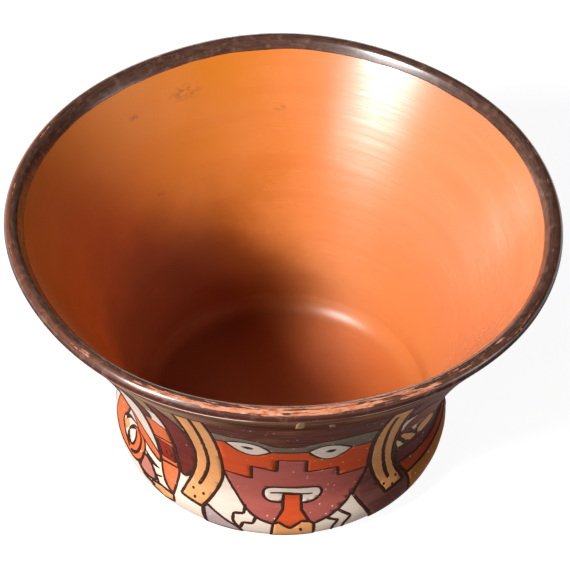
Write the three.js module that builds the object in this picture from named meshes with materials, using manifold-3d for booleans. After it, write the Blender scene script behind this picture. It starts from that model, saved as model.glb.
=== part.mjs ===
// Flaring pottery bowl, hand built in one clay body and painted with coloured slips before the firing.
// Millimetres, +Z up. The origin is the centre of the base, on the face that the bowl rests on.
// One painted face looks along -Y and its repeat along +Y.
// Each slip is its own thin coat: the ground, the lining and the rim band lie on the clay,
// and the fields of the painted figure lie on the ground coat, parted by the lanes of the dark brush line.
import * as THREE from 'three';
import { mergeVertices } from 'three/addons/utils/BufferGeometryUtils.js';
import Module from 'manifold-3d';

// Driving dimensions of the clay
const mouthRadius = 87.2;
const height = 97.7;
const waistRadius = 52.4;
const waistHeight = 22;
const heelSpread = 2.2;
const heelRounding = 10.5;
const flarePower = 1.45;
const wall = 4.2;
const floorThickness = 6.2;
const floorFillet = 6;
const floorDish = 0.4;

// Driving dimensions of the slips
const coat = 0.3;
const seat = 0;
const lineWidth = 1.3;
const groundFootAngle = 58;
const paleLine = 1;
const upperBandWidth = 13.4;
const rimBandInside = 2.6;
const fieldToBand = 1;
const fieldToGroundFoot = 1;

// Facets: counts, a stride in degrees along an outline, and the reach of a wedge in millimetres
const segments = 40;
const heelSteps = 3;
const lowerWallSteps = 4;
const upperWallSteps = 2;
const lipSteps = 4;
const filletSteps = 3;
const curveSteps = 3;
const outlineStride = 18;
const wedgeInside = 3;
const wedgeOutside = 10;
const degree = Math.PI / 180;

const wasm = await Module();
wasm.setup();

// Section line of the clay
// The skin is a line of points with outward normals: it runs from the rest face round the heel, up the
// wall, over the lip, down inside and along the floor to the axis. Every coat is a stretch of that line.

const heelRadius = waistRadius + heelSpread;
const lipRadius = wall / 2;
const flareSlope = (flarePower * (mouthRadius - waistRadius)) / (height - waistHeight);
const lean = Math.atan(flareSlope);
const wallEnd = new THREE.Vector2(
  mouthRadius - lipRadius * (1 - Math.cos(lean)),
  height - lipRadius * (1 + Math.sin(lean)),
);

const bandTop = wallEnd.y - paleLine;
const bandFoot = bandTop - upperBandWidth;
const groundFoot = heelRounding * (1 - Math.cos(groundFootAngle * degree));
const fieldFoot = groundFoot + fieldToGroundFoot;
const fieldTop = bandFoot - fieldToBand;

// Outer radius of the clay at a height: the round of the heel, the drawn-in waist, then the widening flare.
function wallRadius(z) {
  if (z <= heelRounding) {
    return heelRadius - heelRounding + Math.sqrt(heelRounding ** 2 - (heelRounding - z) ** 2);
  }
  if (z < waistHeight) {
    return THREE.MathUtils.lerp(
      heelRadius, waistRadius, THREE.MathUtils.smoothstep(z, heelRounding, waistHeight));
  }
  const rise = (z - waistHeight) / (wallEnd.y - waistHeight);
  return waistRadius + (wallEnd.x - waistRadius) * rise ** flarePower;
}

function skinPoint(r, z, outR, outZ) {
  return { at: new THREE.Vector2(r, z), out: new THREE.Vector2(outR, outZ).normalize() };
}

function wallPoint(z) {
  const reach = 0.01;
  const slope = (wallRadius(z + reach) - wallRadius(z - reach)) / (2 * reach);
  return skinPoint(wallRadius(z), z, 1, -slope);
}

function spaced(from, to, steps) {
  return Array.from({ length: steps + 1 }, (_, i) => THREE.MathUtils.lerp(from, to, i / steps));
}

function roundPoint(centreR, centreZ, radius, angle, side = 1) {
  const r = Math.cos(angle);
  const z = Math.sin(angle);
  return skinPoint(centreR + radius * r, centreZ + radius * z, side * r, side * z);
}

function inside(point) {
  const at = point.at.clone().addScaledVector(point.out, -wall);
  return { at, out: point.out.clone().negate() };
}

const heelAngles = [0, ...spaced(groundFootAngle, 90, heelSteps - 1)];
const heelSkin = heelAngles.map((a) =>
  roundPoint(heelRadius - heelRounding, heelRounding, heelRounding, (a - 90) * degree));
const flareHeights = [
  ...spaced(waistHeight, bandFoot, lowerWallSteps),
  ...spaced(bandFoot, bandTop, upperWallSteps).slice(1),
];
const waistSkin = [(heelRounding + waistHeight) / 2].map(wallPoint);
const flareSkin = flareHeights.map(wallPoint);
const wallEndPoint = skinPoint(wallEnd.x, wallEnd.y, Math.cos(lean), -Math.sin(lean));
const lipSkin = spaced(-lean, Math.PI - lean, lipSteps).slice(1).map((a) =>
  roundPoint(mouthRadius - lipRadius, height - lipRadius, lipRadius, a));
const rimFoot = wallPoint(wallEnd.y - rimBandInside * Math.cos(lean));
const innerSkin = [rimFoot, ...flareHeights.map(wallPoint).reverse().filter((p) => p.at.y < rimFoot.at.y)]
  .map(inside);
const floorEdge = waistRadius - wall - floorFillet;
const filletSkin = spaced(0, -90, filletSteps).map((a) =>
  roundPoint(floorEdge, floorThickness + floorFillet, floorFillet, a * degree, -1));
const floorCentre = skinPoint(0, floorThickness - floorDish, 0, 1);

// Solids of revolution

function onAxisZ(profile) {
  return new THREE.LatheGeometry(profile, segments).rotateX(Math.PI / 2);
}

function lifted(skin, distance) {
  return skin.map((p) => p.at.clone().addScaledVector(p.out, distance));
}

// A coat over a stretch of the skin, from its near face to its far face. A stretch that ends on the axis
// closes there, and any other closes on itself.
function coatOver(skin, near, far) {
  const profile = [...lifted(skin, near).reverse(), ...lifted(skin, far)];
  if (profile[0].x > 0) {
    profile.push(profile[0].clone());
  }
  return onAxisZ(profile);
}

const groundSkin = [...heelSkin.slice(1), ...waistSkin, ...flareSkin, wallEndPoint];
const fieldSkin = groundSkin;
const bandSkin = flareSkin.filter((p) => p.at.y >= bandFoot);
const rimSkin = [wallEndPoint, ...lipSkin, innerSkin[0]];
const liningSkin = [...innerSkin, ...filletSkin, floorCentre];
const claySkin = [
  skinPoint(0, 0, 0, -1), ...heelSkin, ...waistSkin, ...flareSkin, wallEndPoint, ...lipSkin, ...liningSkin,
];

const groundNear = seat;
const groundFar = groundNear + coat;
const fieldNear = groundFar + seat;
const fieldFar = fieldNear + coat;

// Solids cut to a painted outline
// An outline is drawn on the unrolled wall: x is degrees round from the figure's axis, and y is the height
// on a wall whose painted part runs from drawnFoot to drawnTop.
const drawnFoot = 6;
const drawnTop = 79;

function solidOf(geometry) {
  const bare = geometry.clone();
  bare.deleteAttribute('normal');
  bare.deleteAttribute('uv');
  const merged = mergeVertices(bare, 1e-5);
  return new wasm.Manifold(new wasm.Mesh({
    numProp: 3,
    vertProperties: merged.attributes.position.array,
    triVerts: new Uint32Array(merged.index.array),
  }));
}

function geometryOf(solid) {
  const mesh = solid.getMesh();
  const geometry = new THREE.BufferGeometry();
  geometry.setAttribute('position', new THREE.Float32BufferAttribute(mesh.vertProperties, 3));
  geometry.setIndex([...mesh.triVerts]);
  geometry.computeVertexNormals();
  return geometry;
}

// Moves an outline inwards, measured in millimetres on the wall, to leave half of a brush line's lane.
function inset(points, distance) {
  const side = THREE.ShapeUtils.isClockWise(points) ? -1 : 1;
  return points.map((point, i) => {
    const scale = new THREE.Vector2(wallRadius(point.y) * degree, 1 / Math.cos(lean));
    const before = points.at(i - 1).clone().sub(point).multiply(scale).normalize();
    const after = points[(i + 1) % points.length].clone().sub(point).multiply(scale).normalize();
    const inwards = new THREE.Vector2(-after.y, after.x).add(new THREE.Vector2(before.y, -before.x));
    inwards.normalize().multiplyScalar(side);
    const mitre = Math.max(Math.abs(after.cross(inwards)), 0.35);
    return inwards.multiplyScalar(distance / mitre).divide(scale).add(point);
  });
}

// Sets points along the long sides of an outline, so that it follows the round of the wall.
function stepped(points, stride) {
  return points.flatMap((point, i) => {
    const next = points[(i + 1) % points.length];
    const steps = Math.ceil(Math.abs(next.x - point.x) / stride) || 1;
    return Array.from({ length: steps }, (_, k) => point.clone().lerp(next, k / steps));
  });
}

// The wedge that an outline sweeps along the radius, from inside the wall to outside it.
function wedge(outline) {
  const corners = outline.getPoints(curveSteps);
  if (corners.at(-1).equals(corners[0])) {
    corners.pop();
  }
  corners.forEach((p) => p.setY(THREE.MathUtils.mapLinear(p.y, drawnFoot, drawnTop, fieldFoot, fieldTop)));
  const shape = new THREE.Shape(stepped(inset(corners, lineWidth / 2), outlineStride));
  const geometry = new THREE.ExtrudeGeometry(shape, { depth: 1, bevelEnabled: false });
  const position = geometry.getAttribute('position');
  for (let i = 0; i < position.count; i += 1) {
    const angle = position.getX(i) * degree;
    const z = position.getY(i);
    const radius = wallRadius(z) + THREE.MathUtils.lerp(-wedgeInside, wedgeOutside, position.getZ(i));
    position.setXYZ(i, radius * Math.sin(angle), -radius * Math.cos(angle), z);
  }
  return solidOf(geometry);
}

const fieldShell = solidOf(coatOver(fieldSkin, fieldNear, fieldFar));

function fieldGeometry(outline) {
  return geometryOf(fieldShell.intersect(wedge(outline)));
}

// Outlines of the painted figure, in degrees and millimetres

function straight(corners) {
  return new THREE.Path(corners.map(([x, y]) => new THREE.Vector2(x, y)));
}

function draw(start, ...strokes) {
  const path = new THREE.Path();
  path.moveTo(...start);
  strokes.forEach((s) => (s.length === 2 ? path.lineTo(...s) : path.quadraticCurveTo(...s)));
  return path;
}

const leftLid = { from: [-19, 65], over: [-11.5, 72], to: [-6.8, 59.2], under: [-14, 49] };
const rightLid = { from: [3.6, 58.9], over: [8, 69.5], to: [16.3, 57], under: [11, 42] };

// The mask steps down from the bridge of the nose to each cheek.
const leftSteps = [[-22.8, 37.5], [-13.4, 35.4], [-13, 45.2], [-5.1, 42.2], [-4.8, 51.9]];
const rightSteps = [[3.8, 50.8], [4.3, 41.4], [14.5, 41.4], [15.6, 34.7], [26.6, 33.8]];
const chinLeft = [-6.6, 13];
const chinRight = [8, 12.2];
const tongueLeft = [[-2.5, 26.3], [-2.8, 18.8], [-6.2, 12.8]];
const tongueRight = [[6.4, 13.4], [3.7, 18.5], [3.6, 25.5]];
const chinNotch = [[-3.9, 12.6], [-0.5, 11.1], [2.2, 13.2]];
const leftRibbonOuter = [[-40.3, 15], [-34, 28], [-30.6, 48], [-29, 77]];
const rightRibbonInner = [[35.8, 14.4], [27.8, 30], [25, 46], [22, 77]];

const faceOutlines = {
  forehead: draw([-22, 73], [-17.5, 71.2, -14.8, 72], [-9.5, 70, -5.9, 65.4], [-1.7, 63.6, 2, 65.2],
    [5, 68.8, 9.9, 68.4], [16, 71.2, 21.6, 68], [22, drawnTop], [-22.4, drawnTop]),
  brow: draw([-22, 64.4], leftLid.from, [...leftLid.over, ...leftLid.to], rightLid.from,
    [...rightLid.over, ...rightLid.to], [21.6, 56.2], [21.6, 68], [16, 71.2, 9.9, 68.4],
    [5, 68.8, 2, 65.2], [-1.7, 63.6, -5.9, 65.4], [-9.5, 70, -14.8, 72], [-17.5, 71.2, -22, 73]),
  mask_band: draw([-22, 64.4], ...leftSteps, ...rightSteps, [21.6, 56.2], rightLid.to,
    [...rightLid.under, ...rightLid.from], leftLid.to, [...leftLid.under, ...leftLid.from]),
  left_eye: draw(leftLid.from, [...leftLid.under, ...leftLid.to], [...leftLid.over, ...leftLid.from]),
  right_eye: draw(rightLid.from, [...rightLid.under, ...rightLid.to], [...rightLid.over, ...rightLid.from]),
  lower_mask: draw(leftSteps[0], [-20.5, 15.5, ...chinLeft], tongueLeft[2], tongueLeft[1], [-2.8, 22],
    [-9.6, 20.8, -9.8, 26.4], [-9.6, 30.6, -5.5, 30.6], [6.4, 29.6], [10.9, 29.8, 10.9, 25.4],
    [10.4, 20.8, 3.7, 21.2], tongueRight[1], tongueRight[0], chinRight, [26.4, 17, ...rightSteps[4]],
    ...rightSteps.slice(0, 4).reverse(), ...leftSteps.slice(1).reverse()),
  mouth: draw([-2.8, 22], [-9.6, 20.8, -9.8, 26.4], [-9.6, 30.6, -5.5, 30.6], [6.4, 29.6],
    [10.9, 29.8, 10.9, 25.4], [10.4, 20.8, 3.7, 21.2], tongueRight[2], tongueLeft[0]),
  tongue: straight([...tongueLeft, ...chinNotch, ...tongueRight]),
  chin_piece: straight([tongueLeft[2], [-7, drawnFoot], [8, drawnFoot], chinRight, tongueRight[0],
    ...chinNotch.slice().reverse()]),
  left_ribbon: draw([-31.6, 13.7], [-24.5, 24, -23, 36], [-22, 49, -22.6, 77], leftRibbonOuter[3],
    leftRibbonOuter[2], leftRibbonOuter[1], leftRibbonOuter[0]),
  right_ribbon: draw([44.3, 15.1], [39.5, 26, 37, 33.6], [31.5, 52, 27.6, 77], rightRibbonInner[3],
    rightRibbonInner[2], rightRibbonInner[1], rightRibbonInner[0]),
  left_crescent: draw([-31.4, 77], [-35.6, 74], [-37, 55, -40.8, 40], [-41.6, 30, -41, 22.6], [-39, 22.6],
    [-34.8, 31], [-31.4, 49], [-30, 70]),
  left_spindle: draw([-40, 61.4], [-46.5, 54, -50.2, 38], [-53.4, 24, -46.4, 12.4], [-42.4, 12],
    [-41.4, 30, -41.2, 38], [-39.6, 50, -38.4, 57]),
  right_field: draw([26.6, 33.2], [26.4, 25, 22.6, 20.2], [28.8, 9], [30, drawnFoot], [47.6, drawnFoot],
    [47.2, 15], [44.6, 20.6], [44.3, 15.1], rightRibbonInner[0], rightRibbonInner[1]),
  maroon_streamer: straight([[38.2, 36], [53, 29.4], [64.4, 23.6], [84, 17.2], [84, 15.6], [44.8, 21.2]]),
  orange_streamer: straight([[44.8, 21.2], [84, 15.6], [84, 13.4], [69.5, 14], [47.4, 15]]),
  ochre_streamer: straight([[47.4, 15], [69.5, 14], [84, 13.4], [84, drawnFoot], [47.8, drawnFoot]]),
  left_strip: draw([-58, 49], [-62.6, 40], [-65.4, 27], [-58, 21.6, -51.6, 21], [-56.6, 29, -57.6, 35]),
  left_tail: draw([-65.4, 42], [-73, 32], [-80, 19.6], [-76, 15.6, -70.4, 14.4], [-72, 21], [-66.4, 25.6],
    [-60.8, 26, -60.2, 19.2], [-60.2, 12.2, -66, 12], [-84, 12.2], [-89, 20], [-82, 34], [-72, 46]),
  left_leaf: draw([-60.6, 17.2], [-54, 17.6, -52.4, 12.4], [-56.6, 9.8, -61.6, 12.6]),
  grey_wedge: straight([[-31.6, 13.7], [-29.6, 15], [-19, 9.6], [-18.6, drawnFoot], [-30.4, drawnFoot]]),
};

// Colours

const finishes = {
  clay: { color: 0xb9775a, roughness: 0.85 },
  cream: { color: 0xe8d8c6, roughness: 0.6 },
  orange: { color: 0xdd7238, roughness: 0.4 },
  red: { color: 0xcf5229, roughness: 0.5 },
  mauve: { color: 0xa85a50, roughness: 0.5 },
  ochre: { color: 0xdc9a52, roughness: 0.5 },
  maroon: { color: 0x5c2826, roughness: 0.45 },
  brown: { color: 0x5a4034, roughness: 0.4 },
  grey: { color: 0x6f6058, roughness: 0.5 },
  lilac: { color: 0xb49c98, roughness: 0.5 },
};

const fieldFinish = {
  forehead: 'maroon',
  brow: 'grey',
  mask_band: 'red',
  left_eye: 'cream',
  right_eye: 'cream',
  lower_mask: 'mauve',
  mouth: 'cream',
  tongue: 'red',
  chin_piece: 'ochre',
  left_ribbon: 'ochre',
  right_ribbon: 'ochre',
  left_crescent: 'maroon',
  left_spindle: 'orange',
  right_field: 'maroon',
  maroon_streamer: 'maroon',
  orange_streamer: 'orange',
  ochre_streamer: 'ochre',
  left_strip: 'orange',
  left_tail: 'orange',
  left_leaf: 'mauve',
  grey_wedge: 'lilac',
};

function piece(name, geometry, finish) {
  const material = new THREE.MeshStandardMaterial({ ...finishes[finish], metalness: 0 });
  const mesh = new THREE.Mesh(geometry, material);
  mesh.name = name;
  return mesh;
}

// Assembly

const bowl = new THREE.Group();
bowl.add(
  piece('clay_body', onAxisZ(claySkin.map((p) => p.at)), 'clay'),
  piece('inner_lining', coatOver(liningSkin, groundNear, groundFar), 'orange'),
  piece('rim_band', coatOver(rimSkin, groundNear, groundFar), 'brown'),
  piece('ground_coat', coatOver(groundSkin, groundNear, groundFar), 'cream'),
  piece('upper_band', coatOver(bandSkin, fieldNear, fieldFar), 'brown'),
);

const fieldGeometries = Object.entries(faceOutlines)
  .map(([name, outline]) => [name, fieldGeometry(outline)]);

for (const [side, turn] of [['front', 0], ['back', Math.PI]]) {
  const figure = new THREE.Group();
  figure.rotation.z = turn;
  fieldGeometries.forEach(([name, geometry]) => {
    figure.add(piece(`${side}_${name}`, geometry, fieldFinish[name]));
  });
  bowl.add(figure);
}

export default bowl;
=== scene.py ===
# %% [markdown]
# A slip-painted pottery bowl
# This lesson builds one hand-made bowl: a flaring clay vessel, burnished orange inside, with a dark band
# over its lip and a masked face painted outside in coloured slips. A slip is clay let down to cream and put
# on with a brush before the firing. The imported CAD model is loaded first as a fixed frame. Each of its
# coats is then replaced by a finer piece in the same place, so that sizes never drift.

# %% The frame
import math
import random

import bpy
from mathutils import Matrix, Vector, noise


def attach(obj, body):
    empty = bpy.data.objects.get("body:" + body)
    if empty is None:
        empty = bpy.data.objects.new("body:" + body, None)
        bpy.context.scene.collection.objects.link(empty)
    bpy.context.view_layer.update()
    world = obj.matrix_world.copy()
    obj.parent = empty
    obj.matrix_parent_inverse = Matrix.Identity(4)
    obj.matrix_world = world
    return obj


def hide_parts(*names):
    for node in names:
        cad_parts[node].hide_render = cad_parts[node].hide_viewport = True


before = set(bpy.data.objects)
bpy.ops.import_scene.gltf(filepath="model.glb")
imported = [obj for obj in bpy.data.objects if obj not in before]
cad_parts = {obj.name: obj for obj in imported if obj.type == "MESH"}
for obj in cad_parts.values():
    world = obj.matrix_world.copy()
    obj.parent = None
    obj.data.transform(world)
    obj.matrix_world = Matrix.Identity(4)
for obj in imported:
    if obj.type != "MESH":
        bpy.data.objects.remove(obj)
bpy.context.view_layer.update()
scene = bpy.context.scene
print("nodes in the frame:", len(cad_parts))

# %% [markdown]
# The section of the bowl
# A bowl that is turned by eye still has one section line: out from the flat rest face, round the heel, in
# to the waist, up the flare, over the lip and down inside to the floor. Everything in this lesson lies on
# that line, so it is written down once, in millimetres, with the direction that each point faces.

# %% Section sizes
MM = 0.001
MOUTH, HEIGHT = 87.2, 97.7
WAIST, WAIST_HEIGHT = 52.4, 22.0
HEEL, HEEL_ROUND = WAIST + 2.2, 10.5
FLARE = 1.45
WALL = 4.2
LIP = WALL / 2
FLOOR, FILLET, DISH = 6.2, 6.0, 0.4
LEAN = math.atan(FLARE * (MOUTH - WAIST) / (HEIGHT - WAIST_HEIGHT))
WALL_END = (MOUTH - LIP * (1 - math.cos(LEAN)), HEIGHT - LIP * (1 + math.sin(LEAN)))
print("the wall ends at radius %.1f and height %.1f" % WALL_END)

# %% [markdown]
# The outer wall
# The wall could be drawn point by point. A formula is smoother, and the painted figure can ask it for the
# radius at any height. The heel is a quarter round, the clay eases in to the waist, and the flare widens
# faster and faster towards the lip.

# %% Outer wall
def wall_radius(z):
    """Outer radius of the clay at a height."""
    if z <= HEEL_ROUND:
        return HEEL - HEEL_ROUND + math.sqrt(max(HEEL_ROUND ** 2 - (HEEL_ROUND - z) ** 2, 0))
    if z < WAIST_HEIGHT:
        t = (z - HEEL_ROUND) / (WAIST_HEIGHT - HEEL_ROUND)
        return HEEL + (WAIST - HEEL) * t * t * (3 - 2 * t)
    rise = (z - WAIST_HEIGHT) / (WALL_END[1] - WAIST_HEIGHT)
    return WAIST + (WALL_END[0] - WAIST) * rise ** FLARE


def facing(z):
    """The way the outer wall faces at a height, outwards and upwards."""
    slope = (wall_radius(z + 0.01) - wall_radius(z - 0.01)) / 0.02
    length = math.hypot(1, slope)
    return 1 / length, -slope / length


def wall_point(z):
    """A point of the outer wall and the way it faces: radius, height, outwards, upwards."""
    return (wall_radius(z), z, *facing(z))


print("waist radius %.1f, half-way up %.1f" % (wall_radius(WAIST_HEIGHT), wall_radius(HEIGHT / 2)))

# %% [markdown]
# Rounds, the inner wall and even steps
# The heel, the lip and the fillet inside are parts of circles. The inner wall is the outer one moved in by
# the thickness of the clay. Points stand at nearly even heights, close enough that no corner shows in the
# outline.

# %% Rounds and spacing
def arc(centre_r, centre_z, radius, start, end, steps, side=1):
    """Points of a round, from one angle to another, with the way each faces."""
    turns = [math.radians(start + (end - start) * i / steps) for i in range(steps + 1)]
    return [(centre_r + radius * math.cos(a), centre_z + radius * math.sin(a),
             side * math.cos(a), side * math.sin(a)) for a in turns]


def inside(point):
    """The point of the inner wall across the clay from a point of the outer wall."""
    r, z, out_r, out_z = point
    return r - WALL * out_r, z - WALL * out_z, -out_r, -out_z


def heights(low, high, step=1.2):
    """Evenly spaced numbers from low to high, about a step apart."""
    count = max(1, round((high - low) / step))
    return [low + (high - low) * i / count for i in range(count + 1)]


print("steps in the first 6 mm:", len(heights(0, 6)) - 1)

# %% [markdown]
# The line in stretches
# Each stretch of the line keeps its own name, because each coat covers some of them and not the others. Put
# end to end, from the middle of the base to the middle of the floor inside, they are the clay itself.

# %% Stretches of the section line
lean_deg = math.degrees(LEAN)
heel_line = arc(HEEL - HEEL_ROUND, HEEL_ROUND, HEEL_ROUND, -90, 0, 12)
wall_line = [wall_point(z) for z in heights(HEEL_ROUND, WALL_END[1])[1:]]
lip_line = arc(MOUTH - LIP, HEIGHT - LIP, LIP, -lean_deg, 180 - lean_deg, 16)[1:]
inner_line = [inside(p) for p in reversed(wall_line) if p[1] > WAIST_HEIGHT][1:]
fillet_line = arc(WAIST - WALL - FILLET, FLOOR + FILLET, FILLET, 0, -90, 9, side=-1)
foot_of_wall = [(WAIST - WALL, z, -1, 0) for z in reversed(heights(FLOOR + FILLET, WAIST_HEIGHT, 1.6)[1:])]
floor_edge = WAIST - WALL - FILLET
floor_line = [(floor_edge * (1 - t), FLOOR - DISH * math.sin(t * math.pi / 2), 0, 1)
              for t in heights(0, 1, 0.08)[1:]]
clay_line = ([(0, 0, 0, -1)] + heel_line + wall_line + lip_line + inner_line + foot_of_wall
             + fillet_line[1:] + floor_line)
print("section points:", len(clay_line))

# %% [markdown]
# The camera
# The photograph looks down into the bowl at about 45 degrees with a long lens, from a little to the left of
# the painted face. A camera could be held on the bowl by a constraint. Written out as a place and four
# turns it can't drift: round takes it about the bowl, and pan, tilt and roll aim it.

# %% Camera
AWAY, ABOVE = 0.6170, 0.6889
ROUND, PAN, TILT, ROLL = (math.radians(turn) for turn in (-4.5, -0.042, 44.683, 1.371))
view = bpy.data.objects.new("photo_view", bpy.data.cameras.new("photo_view"))
scene.collection.objects.link(view)
view.data.sensor_width = 36
view.data.lens = 173.9
view.data.clip_start, view.data.clip_end = 0.05, 20
view.matrix_world = (Matrix.Rotation(ROUND, 4, "Z") @ Matrix.Translation((0, -AWAY, ABOVE))
                     @ Matrix.Rotation(PAN, 4, "Z") @ Matrix.Rotation(TILT, 4, "X")
                     @ Matrix.Rotation(ROLL, 4, "Z"))
scene.camera = view
print("camera at", tuple(round(v, 3) for v in view.matrix_world.translation))

# %% [markdown]
# Sums with sockets
# A finish is built from shader nodes. Added one by one they are hard to read, and a group hides them. A
# Wire is the output of a node that can be added, taken away and multiplied like a number, and each sum adds
# its own Math node.

# %% Wires
class Wire:
    """The output of a node, which works in sums like a number."""

    def __init__(self, recipe, socket):
        self.recipe, self.socket = recipe, socket

    def __add__(self, other):
        return self.recipe.sum("ADD", self, other)

    def __sub__(self, other):
        return self.recipe.sum("SUBTRACT", self, other)

    def __rsub__(self, other):
        return self.recipe.sum("SUBTRACT", other, self)

    def __mul__(self, other):
        return self.recipe.sum("MULTIPLY", self, other)

    __radd__ = __add__
    __rmul__ = __mul__


# %% [markdown]
# One material as a recipe
# A Recipe is one material. Its node method adds any node from its type, its settings and the values or
# links of its sockets. The other methods are the few steps that nearly every finish repeats: a soft step
# between two numbers, one colour laid over another, a place on the bowl, soft clouds and a bump.

# %% Recipes
class Recipe:
    """One material, made by adding nodes."""

    def __init__(self, name):
        self.material = bpy.data.materials.new(name)
        self.material.use_nodes = True
        self.tree = self.material.node_tree
        self.tree.nodes.clear()

    def node(self, kind, settings=None, sockets=None, output=0):
        """Adds a node, sets it, fills or links its sockets, and gives one of its outputs."""
        made = self.tree.nodes.new("ShaderNode" + kind)
        for name, value in (settings or {}).items():
            setattr(made, name, value)
        for name, value in (sockets or {}).items():
            if isinstance(value, Wire):
                self.tree.links.new(value.socket, made.inputs[name])
            else:
                made.inputs[name].default_value = value
        return Wire(self, made.outputs[output])

    def sum(self, operation, a, b):
        return self.node("Math", {"operation": operation}, {0: a, 1: b})

    def ramp(self, value, low, high, to_low=0.0, to_high=1.0):
        """Goes smoothly from one number to another while value goes from low to high."""
        return self.node("MapRange", {"interpolation_type": "SMOOTHSTEP"},
                         {"Value": value, "From Min": low, "From Max": high,
                          "To Min": to_low, "To Max": to_high})

    def mix(self, mask, under, over):
        """Lays one colour over another where mask is 1."""
        # A Mix node has sockets for every kind of value. Those for colours are 6 and 7, and output 2.
        return self.node("Mix", {"data_type": "RGBA"}, {0: mask, 6: under, 7: over}, output=2)

    def at(self):
        """Where the surface lies, in metres."""
        return self.node("TexCoord", output="Object")

    def along(self, axis):
        """How far along X, Y or Z the surface lies, in metres."""
        return self.node("SeparateXYZ", None, {"Vector": self.at()}, output=axis)

    def place(self, across, up):
        """The place, stretched to so many features a metre: across runs level, up runs upwards."""
        return self.node("VectorMath", {"operation": "MULTIPLY"}, {0: self.at(), 1: (across, across, up)})

    def cloud(self, where, detail=3.0, rough=0.55, bend=0.0):
        """Soft noise, with about one cloud for each unit of where."""
        return self.node("TexNoise", None, {"Vector": where, "Scale": 1.0, "Detail": detail,
                                            "Roughness": rough, "Distortion": bend})

    def finish(self, colour, roughness, normal, **constants):
        """Ends the material in one surface shader."""
        sockets = {"Base Color": colour, "Roughness": roughness, "Normal": normal, **constants}
        self.show(self.node("BsdfPrincipled", None, sockets))
        return self.material

    def bump(self, height, distance, strength):
        return self.node("Bump", None, {"Height": height, "Distance": distance, "Strength": strength})

    def show(self, surface):
        """Links a surface shader to the end of the tree."""
        out = self.tree.nodes.new("ShaderNodeOutputMaterial")
        self.tree.links.new(surface.socket, out.inputs["Surface"])


# %% [markdown]
# Colours from a swatch
# A potter reads a colour off a swatch. A screen shows that colour through a curve which the shader doesn't
# use, so the six letters of the swatch are turned into the even light values that Blender mixes.

# %% Tints
def tint(code):
    """A colour as a painter would read it off a screen, made ready for the shader."""
    parts = [int(code[i:i + 2], 16) / 255 for i in (0, 2, 4)]
    return tuple(c / 12.92 if c <= 0.04045 else ((c + 0.055) / 1.055) ** 2.4 for c in parts) + (1.0,)


print("cream as light:", [round(c, 2) for c in tint("E6D3C3")[:3]])

# %% [markdown]
# The floor
# The bowl stands on a pale sheet. A truly white sheet would throw too much light up at the bowl. The sheet
# is a plain grey that keeps the shadow, with a glow that only the camera and mirrored or clear surfaces
# see, so it looks white.

# %% Floor
SHEET_GREY, SHEET_GLOW = 0.28, 0.93
bpy.ops.object.select_all(action="DESELECT")
bpy.ops.mesh.primitive_plane_add(size=8, location=(0, 0, -0.0002))
floor = bpy.context.object
floor.name = "studio_floor"
sheet = Recipe("pale_sheet")
paper = sheet.node("BsdfDiffuse", None, {"Color": (SHEET_GREY, SHEET_GREY, SHEET_GREY, 1)})
seen, mirrored, through = (sheet.node("LightPath", output="Is %s Ray" % ray)
                           for ray in ("Camera", "Glossy", "Transmission"))
glow = (seen + mirrored + through) * SHEET_GLOW
lift = sheet.node("Emission", None, {"Color": (1, 1, 1, 1), "Strength": glow})
sheet.show(sheet.node("AddShader", None, {0: paper, 1: lift}))
floor.data.materials.append(sheet.material)
print("floor", [round(v, 2) for v in floor.dimensions])

# %% [markdown]
# The lamps
# A faint world light fills the shadows. The small key lamp, high on the left, draws the shadow of the lip
# inside the bowl. A wide low lamp beside it makes the gloss, one behind the bowl lights the back of the
# lip, and one low on the right keeps that side of the painting readable. All are white and plain, so that a
# colour shows as it is written.

# %% Lamps
AIR = 0.012
world = bpy.data.worlds.new("studio_air")
scene.world = world
world.use_nodes = True
air = world.node_tree.nodes["Background"]
air.inputs["Color"].default_value = (1, 1, 1, 1)
air.inputs["Strength"].default_value = AIR
scene.view_settings.view_transform = "Standard"


def soft_lamp(name, turn, rise, away, wide, tall, watts):
    """A soft box aimed at the bowl. Turn is degrees from the front to the right, rise is degrees up."""
    lamp = bpy.data.lights.new(name, "AREA")
    lamp.shape, lamp.size, lamp.size_y, lamp.energy = "RECTANGLE", wide, tall, watts
    holder = bpy.data.objects.new(name, lamp)
    scene.collection.objects.link(holder)
    turn, rise = math.radians(turn), math.radians(rise)
    way = Vector((math.sin(turn) * math.cos(rise), -math.cos(turn) * math.cos(rise), math.sin(rise)))
    holder.location = way * away + Vector((0, 0, 0.05))
    holder.rotation_euler = way.to_track_quat("Z", "Y").to_euler()


soft_lamp("key_lamp", turn=-53, rise=37, away=1.5, wide=0.3, tall=0.3, watts=30)
soft_lamp("gloss_lamp", turn=-46, rise=15, away=1.5, wide=0.8, tall=0.5, watts=5.5)
soft_lamp("far_lamp", turn=178, rise=5, away=1.8, wide=0.8, tall=0.4, watts=3.5)
soft_lamp("side_lamp", turn=66, rise=7, away=1.6, wide=0.6, tall=0.4, watts=3.6)
print("lamps:", len(bpy.data.lights))

# %% [markdown]
# Turning a section into a solid
# A potter builds up coils and evens them by turning the bowl. Here a ring of corners is laid along the
# section, and spun once round the axis. Spin leaves double corners where it closes and turns some shapes
# inside out, so the doubles are merged and the normals are made to point outwards at the end.

# %% Spinning
def pick(piece):
    """Makes one piece the only one that an operator acts on."""
    bpy.ops.object.select_all(action="DESELECT")
    bpy.context.view_layer.objects.active = piece
    piece.select_set(True)


def start_edit(piece):
    """Opens one piece for edit mode tools, with all of it selected."""
    pick(piece)
    bpy.ops.object.mode_set(mode="EDIT")
    bpy.ops.mesh.select_all(action="SELECT")


def end_edit():
    bpy.ops.object.mode_set(mode="OBJECT")


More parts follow.
